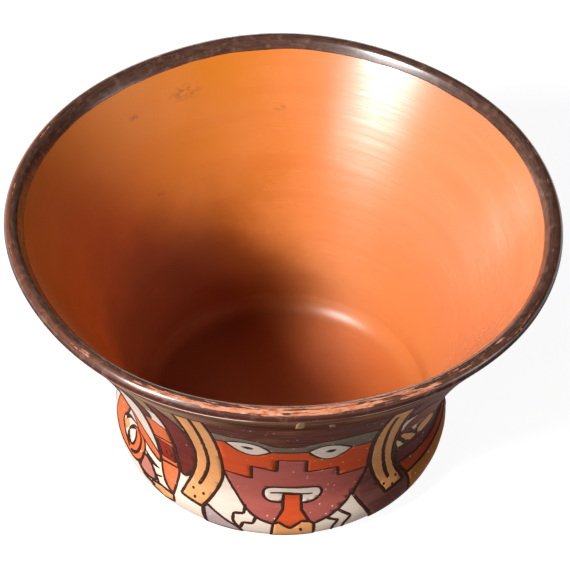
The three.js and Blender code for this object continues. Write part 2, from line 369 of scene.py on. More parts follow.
def ring_of(name, corners, filled=False):
    """A ring primitive with one corner for each given point, drawn out to those points."""
    bpy.ops.object.select_all(action="DESELECT")
    bpy.ops.mesh.primitive_circle_add(vertices=len(corners), fill_type="NGON" if filled else "NOTHING")
    piece = bpy.context.object
    piece.name = piece.data.name = name
    for vertex, corner in zip(piece.data.vertices, corners):
        vertex.co = corner
    return piece


def spun(name, section, steps):
    """A closed section (radius, height in millimetres) spun round the axis."""
    piece = ring_of(name, [(r * MM, 0, z * MM) for r, z in section])
    start_edit(piece)
    bpy.ops.mesh.spin(steps=steps, angle=math.tau, center=(0, 0, 0), axis=(0, 0, 1))
    bpy.ops.mesh.select_all(action="SELECT")
    bpy.ops.mesh.remove_doubles(threshold=0.000002)
    bpy.ops.mesh.delete_loose(use_verts=True, use_edges=True, use_faces=False)
    bpy.ops.mesh.select_all(action="SELECT")
    bpy.ops.mesh.normals_make_consistent(inside=False)
    end_edit()
    print(name, len(piece.data.polygons), "faces")
    return piece


# %% [markdown]
# The section of a coat
# A coat is a thin closed section over a stretch of the line. Its upper side keeps one height above the clay
# and may thin out at its edges, as brushed slip does. Its lower side is hidden in what carries it, so it
# has fewer points.

# %% Coat sections
def lifted(line, lift):
    """The line moved out from the clay. Lift is one number, or one for each point."""
    lifts = lift if hasattr(lift, "__len__") else [lift] * len(line)
    return [(p[0] + p[2] * d, p[1] + p[3] * d) for p, d in zip(line, lifts)]


def brushed(line, near, far, ends):
    """The closed section of a coat over a line. Ends are the lifts at its two edges, where it thins out."""
    lifts = [ends[0]] + [far] * (len(line) - 2) + [ends[1]]
    under = line[::4] + ([line[-1]] if (len(line) - 1) % 4 else [])
    return lifted(line, lifts) + lifted(under, near)[::-1]


print("a coat over the heel has", len(brushed(heel_line, 0, 0.3, (0, 0))), "points")

# %% [markdown]
# Edges drawn by hand
# The edge of a brushed band is never a true circle. Slide moves the corners near one edge along the flare,
# by an amount that changes with the angle. Wander is a slow unevenness read from Blender's noise, so each
# run repeats it.

# %% Wandering edges
def slide(piece, share, amount):
    """Moves corners along the flare. Share gives a corner's part, amount the whole move at an angle."""
    for vertex in piece.data.vertices:
        x, y, z = vertex.co / MM
        part = share(math.hypot(x, y), z)
        if part > 0:
            turn = math.atan2(x, -y)
            far = part * amount(math.degrees(turn))
            out, up = far * math.sin(LEAN), far * math.cos(LEAN)
            vertex.co = Vector((x + out * math.sin(turn), y - out * math.cos(turn), z + up)) * MM


def wander(turn, seed, beat=3.0):
    """A slow unevenness round the bowl, from about -1 to 1, that meets itself after a full turn."""
    a = math.radians(turn)
    return noise.noise(Vector((math.cos(a) * beat, math.sin(a) * beat, seed))) * 1.6


print("wander at the front:", round(wander(0, 3.1), 3))

# %% [markdown]
# The clay and its lining
# The clay is the whole section line, spun, and shows only under the heel. The orange lining covers its
# inside up to the lip. Like every coat that goes right round, it could be a copy of the clay's faces with a
# thickness. Spun from its own stretch of the line it closes cleanly, and it starts a hair inside the clay
# so that no gap can show.

# %% Clay and lining
SUNK, COAT = -0.05, 0.26
CLAY_STEPS, ROUND_STEPS = 144, 256
clay = spun("thrown_clay", lifted(clay_line[::2] + [clay_line[-1]], 0), CLAY_STEPS)
lining_line = [p for p in inner_line if p[1] < 96.2] + foot_of_wall + fillet_line[1:] + floor_line
lining = spun("burnished_lining", brushed(lining_line, SUNK, COAT, (COAT, COAT)), ROUND_STEPS)

# %% [markdown]
# The band over the lip
# The dark band starts just under the lip outside and ends a few millimetres down inside, where its edge
# wanders most. Its wear runs along the crest, so each corner also keeps a number that says where it lies
# on the round of the lip: 0 at the outermost point, 1 at the crest and 2 at the innermost point. The finish
# reads that number later.

# %% Band over the lip
rim_line = ([wall_point(z) for z in (94.1, 94.25)] + [p for p in wall_line if p[1] > 94.3] + lip_line
            + [inside(wall_point(z)) for z in (93.6, 92.9, 92.4, 92.2)])
rim = spun("worn_lip_band", brushed(rim_line, SUNK, 0.30, (0.27, 0.27)), ROUND_STEPS)
round_lip = rim.data.attributes.new("round_lip", "FLOAT", "POINT")
for vertex, value in zip(rim.data.vertices, round_lip.data):
    x, y, z = vertex.co / MM
    rise = math.degrees(math.atan2(z - HEIGHT + LIP, math.hypot(x, y) - MOUTH + LIP))
    value.value = ((rise + 90) % 360 - 90) / 90


def inner_edge(turn):
    """How far the inner edge of the lip band is moved up at an angle."""
    tilt = 0.5 * math.sin(math.radians(turn + 10))
    return tilt + 0.35 * wander(turn, 3.1) + 0.15 * wander(turn, 7.7, 14)


slide(rim, lambda r, z: (96.7 - z) / 2.2 if r < MOUTH - LIP and z < 96.7 else 0, inner_edge)

# %% [markdown]
# The cream ground and the brown band
# The ground covers the outside from the turn of the heel up to the lip band, and is thinnest at the heel.
# The brown band lies on it, under the lip. A narrow line of ground shows between the two bands, except at
# the front, where the brown one rises to the lip.

# %% Ground and brown band
ground_foot = HEEL_ROUND * (1 - math.cos(math.radians(58)))
ground_line = [p for p in heel_line if p[1] > ground_foot - 0.2] + [p for p in wall_line if p[1] < 94.4]
ground = spun("cream_ground_slip", brushed(ground_line, SUNK, COAT, (0.02, 0.2)), ROUND_STEPS)

BAND_GAP, BAND_DEPTH = 1, 13.4
band_top = WALL_END[1] - BAND_GAP
band_foot = band_top - BAND_DEPTH
band_line = [wall_point(z) for z in heights(band_foot, band_top, 0.9)]
band = spun("brown_band_slip", brushed(band_line, 0.2, 0.33, (0.28, 0.28)), ROUND_STEPS)


def upper_edge(turn):
    """How far the upper edge of the brown band is moved up at an angle. It rises at the front."""
    return 0.2 * wander(turn, 5.3, 9) - 0.7 + 1.7 * max(0, min(1, (11 - abs(turn)) / 4))


slide(band, lambda r, z: min(1, (z - 91.5) / 1.8), upper_edge)

# %% [markdown]
# Drawing on the unrolled wall
# The painted figure is drawn flat first, on a sheet where one unit across is one degree round the bowl and
# one unit up is one millimetre of height. A filled outline is ruled into small squares, so that it can
# bend, and is then wrapped on the wall. A line of numbers is a stroke of the brush: two numbers end a
# straight stroke, and four give the point that pulls a curved one first.

# %% Outlines to points
def curve_points(start, *strokes, steps=7):
    """Points along straight and curved strokes."""
    points = [Vector((*start, 0))]
    for stroke in strokes:
        a, end = points[-1], Vector((*stroke[-2:], 0))
        if len(stroke) == 2:
            points.append(end)
            continue
        pull = Vector((*stroke[:2], 0))
        for i in range(1, steps + 1):
            t = i / steps
            points.append(a * (1 - t) ** 2 + pull * 2 * t * (1 - t) + end * t ** 2)
    return points


print("a curved stroke has", len(curve_points((0, 0), (5, 8, 10, 0))), "points")

# %% [markdown]
# From the sheet to the wall
# The flat drawing could be projected on the bowl like a slide, but that smears it where the wall turns
# away. Each corner is instead carried to its own angle and height on the wall, so a line keeps its width
# wherever it lies.

# %% Wrapping
def stretch(z):
    """Millimetres on the wall for one degree across the sheet, and for one unit up it."""
    face = facing(z)
    return math.radians(wall_radius(z)), 1 / face[0]


def on_wall(turn, z, lift):
    """The place in metres of a sheet point, lifted off the clay."""
    out, up = facing(z)
    r, a = wall_radius(z) + out * lift, math.radians(turn)
    return Vector((r * math.sin(a), -r * math.cos(a), z + up * lift)) * MM


def wrapped(piece, lift):
    """Bends a flat sheet piece round the wall. Its own height becomes more lift."""
    for vertex in piece.data.vertices:
        x, y, z = vertex.co
        vertex.co = on_wall(x, y, lift + z)
    return piece


print("one degree and one unit up at the eyes: %.2f and %.2f mm" % stretch(57))

# %% [markdown]
# Filled fields
# A field is a flat face drawn out to its outline. One big face can't bend, so it is cut along a grid with
# bisect, wrapped on the wall, and given its thickness inwards. Its edge then stands up from the ground by
# the thickness of the slip, as the real edge does.

# %% Filled fields
THICK = 0.07


def ruled(piece, across=2.5, up=2.0):
    """Cuts a flat piece along a grid, so that it has corners to bend at."""
    xs, ys = [v.co.x for v in piece.data.vertices], [v.co.y for v in piece.data.vertices]
    start_edit(piece)
    bpy.ops.mesh.quads_convert_to_tris(ngon_method="BEAUTY")
    for low, high, step, axis in ((min(xs), max(xs), across, 0), (min(ys), max(ys), up, 1)):
        for k in range(math.ceil(low / step + 0.05), math.floor(high / step - 0.05) + 1):
            at, way = [0, 0, 0], [0, 0, 0]
            at[axis], way[axis] = k * step, 1
            bpy.ops.mesh.select_all(action="SELECT")
            bpy.ops.mesh.bisect(plane_co=at, plane_no=way)
    bpy.ops.mesh.select_all(action="SELECT")
    bpy.ops.mesh.remove_doubles(threshold=0.002)
    bpy.ops.mesh.normals_make_consistent(inside=False)
    end_edit()
    return piece


def thickened(piece):
    """Gives a wrapped sheet its thickness, inwards, as a closed solid."""
    start_edit(piece)
    bpy.ops.mesh.normals_make_consistent(inside=False)
    end_edit()
    middle = piece.data.polygons[len(piece.data.polygons) // 2]
    if middle.normal.dot(Vector((middle.center.x, middle.center.y, 0))) < 0:
        piece.data.flip_normals()
    shell = piece.modifiers.new("thickness", "SOLIDIFY")
    shell.thickness, shell.offset = THICK * MM, -1
    bpy.ops.object.modifier_apply(modifier=shell.name)
    return piece


def field(name, points, lift):
    """One painted field as a closed piece on the wall."""
    return thickened(wrapped(ruled(ring_of(name, points, filled=True)), lift))


print("a field is %.2f mm thick" % THICK)

# %% [markdown]
# Brush lines
# Most fields are outlined with a fine brush and a dark slip. A line is a curve with a round section that is
# pressed flat, which gives the soft edge and the slight body of a real line. It swells and thins a little
# with the hand, and it is lifted and set down again at each sharp corner.

# %% Strokes
def strokes_of(points, closed=False, sharp=38):
    """Parts a run of points where it turns sharply, as a painter lifts the brush."""
    points = list(points)
    if closed:
        points.append(points[0])
    runs, run = [], [points[0]]
    for i in range(1, len(points)):
        run.append(points[i])
        if i < len(points) - 1:
            before, after = points[i] - points[i - 1], points[i + 1] - points[i]
            if before.length > 1e-6 and after.length > 1e-6 and before.angle(after) > math.radians(sharp):
                runs.append(run)
                run = [points[i]]
    return runs + [run]


def evened(run, step=0.9):
    """The same run with points at even distances."""
    total = [0.0]
    for a, b in zip(run, run[1:]):
        total.append(total[-1] + (b - a).length)
    count = max(2, round(total[-1] / step))
    out, k = [], 0
    for i in range(count + 1):
        d = total[-1] * i / count
        while k < len(run) - 2 and total[k + 1] < d:
            k += 1
        span = total[k + 1] - total[k]
        out.append(run[k].lerp(run[k + 1], 0 if span == 0 else (d - total[k]) / span))
    return out


print("an even run of 9 mm has", len(evened([Vector((0, 0, 0)), Vector((9, 0, 0))])), "points")

# %% [markdown]
# One stroke, and all of them together
# A stroke gets a point every millimetre or so, and each point its own width and a little drift. The width
# is divided by the stretch of the sheet there, so that it is true on the wall. The strokes of one slip are
# splines of one curve, made a mesh, pressed flat and wrapped, because a hundred small pieces would say no
# more than one.

# %% Line work
OVERRUN, TAPER = 0.12, (0.45, 0.85)
SWELL, DRIFT = 0.22, 0.10


def lay_stroke(curve, points, width, phase):
    """Adds one stroke to a curve. Phase shifts its swelling, so that no two strokes are alike."""
    points = evened(points)
    start, end = points[0], points[-1]
    if (start - end).length > 0.5:
        points[0] = start + (start - points[1]).normalized() * OVERRUN * width
        points[-1] = end + (end - points[-2]).normalized() * OVERRUN * width
    start, end = points[0], points[-1]
    points = [start, start.lerp(points[1], 0.3), *points[1:-1], end.lerp(points[-2], 0.3), end]
    line = curve.splines.new("POLY")
    line.points.add(len(points) - 1)
    for i, (point, at) in enumerate(zip(points, line.points)):
        along = (points[min(i + 1, len(points) - 1)] - points[max(i - 1, 0)]).normalized()
        sx, sy = stretch(point.y)
        broad = math.hypot(along.y * sx, along.x * sy)
        press = 1 + SWELL * noise.noise(Vector((i * 0.35, phase, 0)))
        from_end = min(i, len(points) - 1 - i)
        thin = TAPER[from_end] if from_end < len(TAPER) else 1
        drift = DRIFT * noise.noise(Vector((phase, i * 0.3, 3)))
        at.co = (point.x - along.y * drift, point.y + along.x * drift, 0, 1)
        at.radius = width / 2 / broad * press * thin


def line_work(name, runs, lift, flat=0.06, seed=1):
    """Brush lines as one piece. Each run is (points, width in millimetres)."""
    hand = random.Random(seed)
    curve = bpy.data.curves.new(name, "CURVE")
    curve.dimensions, curve.bevel_depth, curve.bevel_resolution = "3D", 1.0, 1
    curve.use_fill_caps = True
    for points, width in runs:
        lay_stroke(curve, points, width, hand.uniform(0, 50))
    piece = bpy.data.objects.new(name, curve)
    scene.collection.objects.link(piece)
    pick(piece)
    bpy.ops.object.convert(target="MESH")
    piece = bpy.context.object
    for vertex in piece.data.vertices:
        vertex.co.z *= flat
    start_edit(piece)
    bpy.ops.mesh.normals_make_consistent(inside=False)
    end_edit()
    print(name, len(runs), "strokes", len(piece.data.polygons), "faces")
    return wrapped(piece, lift)


# %% [markdown]
# The masked figure
# A wide face in a stepped mask looks out between two ribbons. Beside it are a crescent, a spindle leaf,
# feathers and a curled tail on one side, and a clawed hand over three streamers on the other. The figure
# could be traced as one picture, but each field is its own coat of slip, so each gets its own outline.
# Fields that meet share their points: the eyes are let into the mask, and the brow dips between them.

# %% Eyes, brow and forehead
TOP, FOOT = 80.6, 5.6
drawing = {}


def draw(name, slip_name, *outline):
    """Notes one field: its name, its slip, and the strokes round it, in degrees and millimetres."""
    drawing[name] = (slip_name, outline)


def leaf(tip, over, far_tip, under):
    """Two curved sides between two tips."""
    return tip, (*over, *far_tip), (*under, *tip)


def backwards(strokes):
    """The same line drawn from its other end."""
    ends = [stroke[-2:] for stroke in strokes]
    return [ends[-1]] + [(*strokes[i][:-2], *ends[i - 1]) for i in range(len(strokes) - 1, 0, -1)]


left_eye = leaf((-19, 62.6), (-11.4, 69.2), (-6.9, 56.9), (-14.1, 47))
right_eye = leaf((3.5, 56.6), (7.9, 66.8), (16.1, 55), (10.6, 40.4))
mask_left, mask_right = (-22, 62.1), (22.7, 54.3)
brow_top = [(-21.9, 70.4), (-17.4, 68.5, -14.7, 69.2), (-9.5, 67.3, -5.9, 62.9), (-1.8, 61.1, 1.9, 62.7),
            (5, 66.1, 9.8, 65.8), (15.9, 68.5, 22.2, 65.6)]
draw("forehead", "brushed", *brow_top, (22, TOP), (-22, TOP))
draw("brow", "grey", mask_left, *left_eye[:2], *right_eye[:2], mask_right, *backwards(brow_top))
print("fields so far:", list(drawing))

# %% [markdown]
# The stepped mask and the mouth
# The lower edge of the mask climbs in steps from each cheek to the bridge of the nose. The steps, the rim
# of the mouth and the sides of the tongue are written once, and used by the fields on both sides of them.

# %% Mask and mouth
left_steps = [(-22.9, 35.9), (-13.5, 33.8), (-13.1, 43.3), (-5.3, 40.4), (-5, 49.8)]
right_steps = [(3.6, 48.8), (4, 39.7), (14.1, 39.9), (15.1, 33.4), (25.7, 32.8)]
mouth_rim = [(-3.1, 20.8), (-9.7, 19.6, -9.9, 25), (-9.8, 29.1, -5.7, 29.1), (6, 28.3),
             (10.4, 28.6, 10.3, 24.3), (9.8, 19.9, 3.3, 20.1)]
tongue_left = [(-2.8, 25), (-3, 17.7), (-6.3, 12)]
tongue_right = [(5.9, 12.7), (3.3, 17.5), (3.2, 24.3)]
notch = [(-4.4, 12.8), (-0.5, 10.1), (3.2, 13)]
chin_right = (7.5, 11.6)
draw("mask_band", "red", mask_left, *left_steps, *right_steps, mask_right,
     right_eye[1][2:], right_eye[2], left_eye[1][2:], left_eye[2])
draw("left_eye", "cream", *left_eye)
draw("right_eye", "cream", *right_eye)
draw("lower_mask", "mauve", left_steps[0], (-20.2, 14.6, -6.7, 12.2), tongue_left[2], tongue_left[1],
     *mouth_rim, tongue_right[1], tongue_right[0], chin_right, (25.3, 16.6, 25.7, 32.8),
     *right_steps[3::-1], *left_steps[:0:-1])
draw("mouth", "cream", *mouth_rim, tongue_right[2], tongue_left[0])
draw("tongue", "red", *tongue_left, *notch, *tongue_right)
draw("chin_piece", "ochre", tongue_left[2], (-6.9, FOOT), (7.5, FOOT), chin_right, tongue_right[0],
     *notch[::-1])
print("fields so far:", len(drawing))

# %% [markdown]
# Ribbons, crescent and spindle
# Two ochre ribbons hang beside the face and lean out with the flare. To the left lie a maroon crescent and
# an orange spindle leaf. What reaches the top of the sheet runs up to the edge of the brown band.

# %% Ribbons, crescent and spindle
draw("left_ribbon", "ochre", (-31, 13), (-24.4, 22.8, -23, 34.4), (-22.1, 47.1, -22.2, TOP), (-29.3, TOP),
     (-31, 46.2), (-32.1, 35.5, -35.1, 26.8), (-39.6, 14.4))
draw("right_ribbon", "ochre", (42.8, 15.2), (38.4, 25.5, 36.2, 32.8), (31.1, 50.5, 27.5, TOP),
     (21.9, TOP), (22.9, 52.2, 25.5, 40.7), (26.7, 30.1, 34.4, 14.4))
draw("left_crescent", "maroon", (-36.2, TOP), (-37.6, 69.9), (-38.3, 53.2, -40.5, 36.5),
     (-41.6, 28.8, -40.8, 22), (-38.9, 21.6), (-35.2, 26.9), (-32.2, 35.5, -31.1, 46.2),
     (-30.8, 56, -31.4, 62), (-33.4, 74), (-34.6, TOP))
draw("left_spindle", "orange", (-46.7, 54), (-51.9, 32, -49.8, 19.7), (-48, 14.1, -42.5, 12),
     (-41.2, 23, -42, 24.5), (-40.8, 38.5, -39.6, 50.5), (-42.5, 54.6, -46.7, 54))
print("fields so far:", len(drawing))

# %% [markdown]
# The dark field and the streamers
# A plum field wraps the end of the right ribbon. From it three streamers run round to the right, each a
# darker slip than the same colour in the face. The darker ochre and orange are painted shade, where the
# light falls off round that side.

# %% Dark field and streamers
draw("right_field", "plum", (25.7, 32.2), (25.5, 24.3, 21.7, 19.6), (27.5, 9.1), (28.6, FOOT),
     (45.6, FOOT), (45.3, 12.3), (45, 15.1), (41.2, 22.5), (37.2, 34.6), (34.4, 40.9), (36.2, 32.8),
     (38.4, 25.5, 42.8, 15.2), (34.4, 14.4), (26.7, 30.1, 25.8, 38.8))
draw("maroon_streamer", "dusk", (37.2, 34.6), (43.6, 30.3, 51.5, 29.3), (63.3, 23.4), (84.5, 18.6),
     (84.4, 17.5), (68, 19.3), (52, 20.4), (41.2, 22.5))
draw("orange_streamer", "shaded_orange", (41.2, 22.5), (52, 20.4), (68, 19.3), (84.4, 17.5), (84.4, 15.3),
     (67.4, 15.6), (45.1, 15.8))
draw("ochre_streamer", "shaded_ochre", (45.1, 15.8), (67.4, 15.6), (84.4, 15.3), (86, 9.4), (83.8, FOOT),
     (45.8, FOOT), (45.3, 12.3))
print("fields so far:", len(drawing))

# %% [markdown]
# Feathers and tail on the left
# Past the spindle a slanting strip, a dark cap and the curled tail crowd together, with small fields
# between them. They are drawn as the painter left them: some overlap, and the thin slip near the band only
# fades into the ground.

# %% Feathers and tail
draw("left_shoulder", "dusk", (-45.3, TOP), (-45.5, 66), (-47.2, 54), (-43.2, 56), (-41.8, 62),
     (-41.2, 72), (-40.4, TOP))
draw("left_cap", "dusk", (-46.5, TOP), (-50.1, 71.5), (-53.9, 63), (-60.4, 51.5), (-66, 49.5, -71, 53.5),
     (-67, 66, -58, TOP))
draw("left_fade", "tan", (-34.6, TOP), (-33.6, 75), (-32, 66), (-30.6, 63), (-29.6, TOP))
draw("left_gap_fade", "tan", (-40.6, TOP), (-41.3, 72), (-41.3, 68), (-38, 66), (-37.4, 72), (-36.2, TOP))
draw("left_diamond", "deep_red", (-49, 35.2), (-41.9, 36.3), (-43, 25.6), (-49.5, 24.7))
draw("left_strip", "orange", (-45.4, TOP), (-49, 70), (-52.4, 62), (-57.4, 52), (-60.6, 45),
     (-59.6, 36, -57.6, 31.2), (-51, 23.1), (-50.7, 20), (-57.2, 20.8, -64, 24.9), (-62.2, 36),
     (-63.2, 45), (-60.4, 51.5), (-53.9, 63), (-50.1, 71.5), (-46.5, TOP))
draw("left_tail", "orange", (-62.2, 38.5), (-71.5, 26.4, -77.6, 18.9), (-77.5, 16.9),
     (-73, 15, -68.3, 13.4), (-71.5, 15.9), (-71.8, 20.5, -65.6, 24.3), (-60.7, 25.3, -59.4, 18.8),
     (-58.8, 12.2, -64.4, 11.8), (-76.2, 11.4, -83.2, 12.3), (-90.3, 13.6, -87, 22.8),
     (-79.5, 36.3, -60.8, 51))
draw("left_bead", "cream", (-71.3, 18.1), (-69.3, 21.7, -66.8, 21.8), (-65.1, 16.4, -67.3, 15),
     (-69.4, 14.7, -71.3, 18.1))
draw("left_spot", "ochre", (-77.1, 17.5), (-74.8, 20), (-72, 19.8), (-72.1, 18.4), (-73.3, 16.5),
     (-75, 16.4))
draw("left_leaf", "rose", (-59.7, 17.4), (-53.6, 17.6, -50.9, 12.6), (-54.5, 10.2, -59.8, 12.2))
draw("left_quill", "line", (-59.2, 19.3), (-55.1, 18.1, -50.2, 17.3), (-54, 16.1, -57.3, 16.9))
draw("left_foot_strip", "ochre", (-53, 9), (-52.6, 11.2), (-48.7, 12.1), (-42.4, 11.6), (-42.2, 8.6),
     (-47, 7.5))
draw("grey_wedge", "lilac", (-31, 13), (-29.1, 14.6), (-18.6, 8.8), (-16.5, FOOT), (-29.7, FOOT))
print("fields so far:", len(drawing))

# %% [markdown]
# The clawed hand and the pupils
# On the right a dark shoulder carries a hand with two claws. Its worn, crossing lines are kept to a few
# clean fields. They and the pupils lie on top of other fields, so they are listed as the top layer and
# lifted a little more. The fields in the last list have no outline of their own.

# %% Hand and pupils
draw("right_shoulder", "dusk", (31.2, 60.1), (34.4, 40.9), (37.2, 34.6), (43.6, 30.3, 51.5, 29.3),
     (63.3, 23.4), (84.5, 18.6), (86, 24, 84.6, 31), (82, 42, 76, 51.5), (68, 66, 58, TOP), (28.1, TOP))
draw("thumb", "cream", (33.3, 50.4), (31.2, 57.9), (31.2, 61.7), (32.8, 62.5), (35.2, 62.8), (33.7, 59.1),
     (33.5, 55.3), (34.1, 51))
draw("knuckle", "cream", (39.6, 45.4), (38.4, 47.9), (40, 48.6), (41.2, 47.4), (42.9, 43.6), (42.2, 41.8))
draw("hand", "red_brown", (34.9, 47.2), (31.7, 56.2, 32.6, 62.9), (36.9, 67.7), (45.8, 60.2),
     (55.7, 44.7), (44.5, 44.8), (40.5, 43.4))
draw("claw", "ochre", (34.5, 45.9), (36.3, 46.4), (41.8, 40.8), (47.2, 34.3), (44.1, 33.1), (40.4, 36.8),
     (37, 41.7))
draw("finger", "ochre", (47.4, 34.4), (44.6, 39.6), (45, 43.5), (48.5, 45.5), (54, 39.5), (58.6, 33),
     (56.4, 31.4), (51.2, 31.3))
draw("claw_tip", "pale_ochre", (33.9, 44.3), (37.1, 40.1), (41.3, 34.1), (37.4, 34.4), (36, 36.5))
draw("left_pupil", "line", (-15, 60.2), (-13, 62.1, -11.5, 59.4), (-12.7, 56.9, -15, 60.2))
draw("right_pupil", "line", (8.4, 55.4), (9.6, 58, 11.5, 55.7), (10.8, 52.4, 8.4, 55.4))
top_layer = ("left_diamond", "left_bead", "left_spot", "thumb", "knuckle", "hand", "claw", "finger",
             "claw_tip", "left_pupil", "right_pupil")
unlined = ("forehead", "left_shoulder", "left_cap", "left_fade", "left_gap_fade", "left_pupil",
           "right_pupil", "left_quill", "right_shoulder", "hand", "left_spot")
print("fields of the figure:", len(drawing))

# %% [markdown]
# The free lines
# Besides the outlines there are lines that stand alone: the slit of the mouth, the fold of each ribbon and
# its three dots, the zigzags on the cream, the rings of the tail, and the pale lines of the hand. Two tan
# dashes cross the brown band. Each line is written with its own width first, in millimetres.

# %% Free lines
free_lines = [
    (0.9, [(-7.4, 25.3), (-3.3, 26, -0.3, 25.3), (3.6, 24.2, 7.1, 24.4)]),
    (1.3, [(-25.4, 80), (-26.3, 57.9, -27.1, 44.2), (-27.6, 32.5, -33.3, 20.9)]),
    (1.35, [(24.3, 75), (26.2, 58.1, 30, 40.8), (33.1, 29.3, 36.7, 19)]),
    (1.1, [(-15.9, 18.3), (-16.3, 14.9), (-19.7, 14.5), (-19.9, 11.4), (-17.2, 7.4), (-16.7, 5.8)]),
    (1.1, [(-12, 14.4), (-13, 11.5), (-16.4, 11.3), (-17.5, 8)]),
    (1.1, [(16.2, 15), (20.4, 11.5), (18.2, 8.8), (17.7, 6)]),
    (1.1, [(12.1, 12.8), (15.9, 11.1), (14.2, 8.7), (14, 6)]),
    (1.0, [(2.9, 10), (3.2, 8.3)]),
    (1.1, [(-50, 36.2), (-45, 38.5), (-40.4, 39.5)]),
    (1.1, [(-50, 21.7), (-46.7, 22.6), (-41.9, 23.4)]),
    (0.8, [(-46.4, 32.3), (-43.8, 33.6, -43.8, 29.7), (-44.3, 26.8, -46.1, 27.8),
           (-47.1, 29.4, -45.8, 30.3)]),
    (1.2, [(-64.7, 23.5), (-62.1, 21.6, -62.4, 17.7), (-62.4, 13.7, -67.1, 12.9)]),
    (1.4, [(-51, 23.1), (-51.4, 30.8, -49.2, 46), (-46.8, 56, -45.6, 66), (-45.3, 80)]),
    (1.0, [(-40.6, 80), (-41.2, 72), (-41.8, 62), (-43.2, 56), (-46, 54.6)]),
    (1.2, [(-53.9, 15.9), (-51.1, 13.8), (-49.1, 11.9)]),
    (0.6, [(-51.4, 14.5), (-49.9, 14.6), (-48.8, 15.3)]),
    (1.4, [(-61.3, 12.8), (-56.5, 10), (-51.3, 9.9)]),
    (1.0, [(-30.3, 13.2), (-29.6, 8.9), (-29.5, 5.8)]),
    (1.6, [(-75.8, 19.6), (-70.2, 27, -64.7, 27.1)]),
    (1.0, [(37, 49.2), (42.8, 40)]),
    (1.2, [(-60.6, 51), (-66, 49.5, -71, 53.5), (-67, 66, -58.2, 80.2)]),
    (1.3, [(84.5, 18.6), (86, 24, 84.6, 31), (82, 42, 76, 51.5), (68, 66, 58, 80.2)]),
]
dots = [(-35.3, 18.4), (-31.2, 17.8), (-34.2, 15.4), (40, 18.1), (34.4, 17.6), (37.8, 15.7)]
pale_lines = [
    (0.8, [(41.4, 46), (42.5, 49.2)]),
    (1.7, [(47.8, 35), (51.5, 34.6), (56, 33.8)]),
]
tan_lines = [
    (3.0, [(-0.4, 85.6), (-0.2, 93.2)]),
    (2.2, [(6.4, 87.5), (7.0, 84.3)]),
]
print("free lines:", len(free_lines) + len(pale_lines) + len(tan_lines), "and dots:", len(dots))

# %% [markdown]
# Painting the fields
# Now the notes become pieces. An outline that comes back to its first point drops the double. The dark
# shoulder lies lowest, and what crosses it lies higher.

# %% Fields of one figure
FIELD_LIFT, TOP_LIFT, SHOULDER_LIFT = 0.33, 0.37, 0.31


def comes_back(points):
    return (points[0] - points[-1]).length < 0.01


pieces = {}
for name, (slip_name, outline) in drawing.items():
    points = curve_points(*outline)
    if comes_back(points):
        points.pop()
    lift = TOP_LIFT if name in top_layer else SHOULDER_LIFT if name == "right_shoulder" else FIELD_LIFT
    pieces["front_" + name] = (field("front_" + name + "_slip", points, lift), slip_name)
print("fields:", len(pieces))

# %% [markdown]
# Painting the lines
# The outlines come from the same notes as the fields, so a line always lies on the edge that it covers. The
# pale and tan lines were painted last, and are lifted over the dark ones.

# %% Lines of one figure
LINE_WIDTH, DOT_WIDTH = 0.95, 1.2
LINE_LIFT, PALE_LIFT, TAN_LIFT = 0.36, 0.38, 0.40
widths = {"left_ribbon": 1.1, "right_ribbon": 1.25, "left_crescent": 1.25, "right_field": 1.2,
          "claw": 0.9, "finger": 0.8, "thumb": 0.6, "knuckle": 0.6, "claw_tip": 0.9, "left_bead": 1.2,
          "mouth": 1.0, "tongue": 1.0}
runs = []
for name, (slip_name, outline) in drawing.items():
    if name not in unlined:
        points = curve_points(*outline)
        width = widths.get(name, LINE_WIDTH)
        runs += [(run, width) for run in strokes_of(points, closed=not comes_back(points))]
for width, line in free_lines:
    runs += [(run, width) for run in strokes_of(curve_points(*line))]
for x, y in dots:
    runs.append(([Vector((x - 0.35, y, 0)), Vector((x + 0.35, y, 0))], DOT_WIDTH))
pieces["front_line_work"] = (line_work("front_line_work", runs, LINE_LIFT), "line")
for name, lines, lift, slip_name in (("front_pale_lines", pale_lines, PALE_LIFT, "cream"),
                                     ("front_tan_lines", tan_lines, TAN_LIFT, "tan")):
    runs = [(curve_points(*line), width) for width, line in lines]
    pieces[name] = (line_work(name, runs, lift), slip_name)

# %% [markdown]
# Slip finishes
# All the slips share one build: an even colour, streaked level with the rim where the brush went round,
# rubbed thinner in clouds, with white grit that the clay always holds. Burnishing with a stone gives the
# low gloss.

# %% Slip recipe
GRAINS, GLOSS = 430.0, 0.42


def slip(name, body, dark, pale, grit=0.8, streak=0.35):
    """A painted slip: its even colour, the colour of thick streaks and of rubbed clouds, and white grit."""
    mix = Recipe(name)
    strokes = mix.cloud(mix.place(70, 520), detail=4, rough=0.6)
    rubbed = mix.cloud(mix.place(42, 60), detail=5, rough=0.62)
    colour = mix.mix(mix.ramp(strokes, 0.35, 0.72) * streak, tint(body), tint(dark))
    colour = mix.mix(mix.ramp(rubbed, 0.5, 0.78) * 0.45, colour, tint(pale))
    cells = {"Vector": mix.at(), "Scale": GRAINS}
    from_grain = mix.node("TexVoronoi", None, cells, output="Distance")
    grain = mix.node("TexVoronoi", None, cells, output="Color")
    some = mix.node("SeparateColor", None, {"Color": grain}, output="Red")
    size = mix.node("SeparateColor", None, {"Color": grain}, output="Green")
    speck = mix.ramp(from_grain * (1.8 - size), 0.1, 0.18, 1, 0)
    speck = speck * mix.ramp(some + (rubbed - 0.5) * 1.2, 0.6, 0.62) * grit
    colour = mix.mix(speck, colour, tint("F6E8DC"))
    rough = GLOSS + 0.16 * rubbed - 0.08 * strokes
    relief = mix.bump(strokes * 0.4 + rubbed - speck, 0.00006, 0.6)
    return mix.finish(colour, rough, relief, IOR=1.04)


print("grains across a metre:", GRAINS)
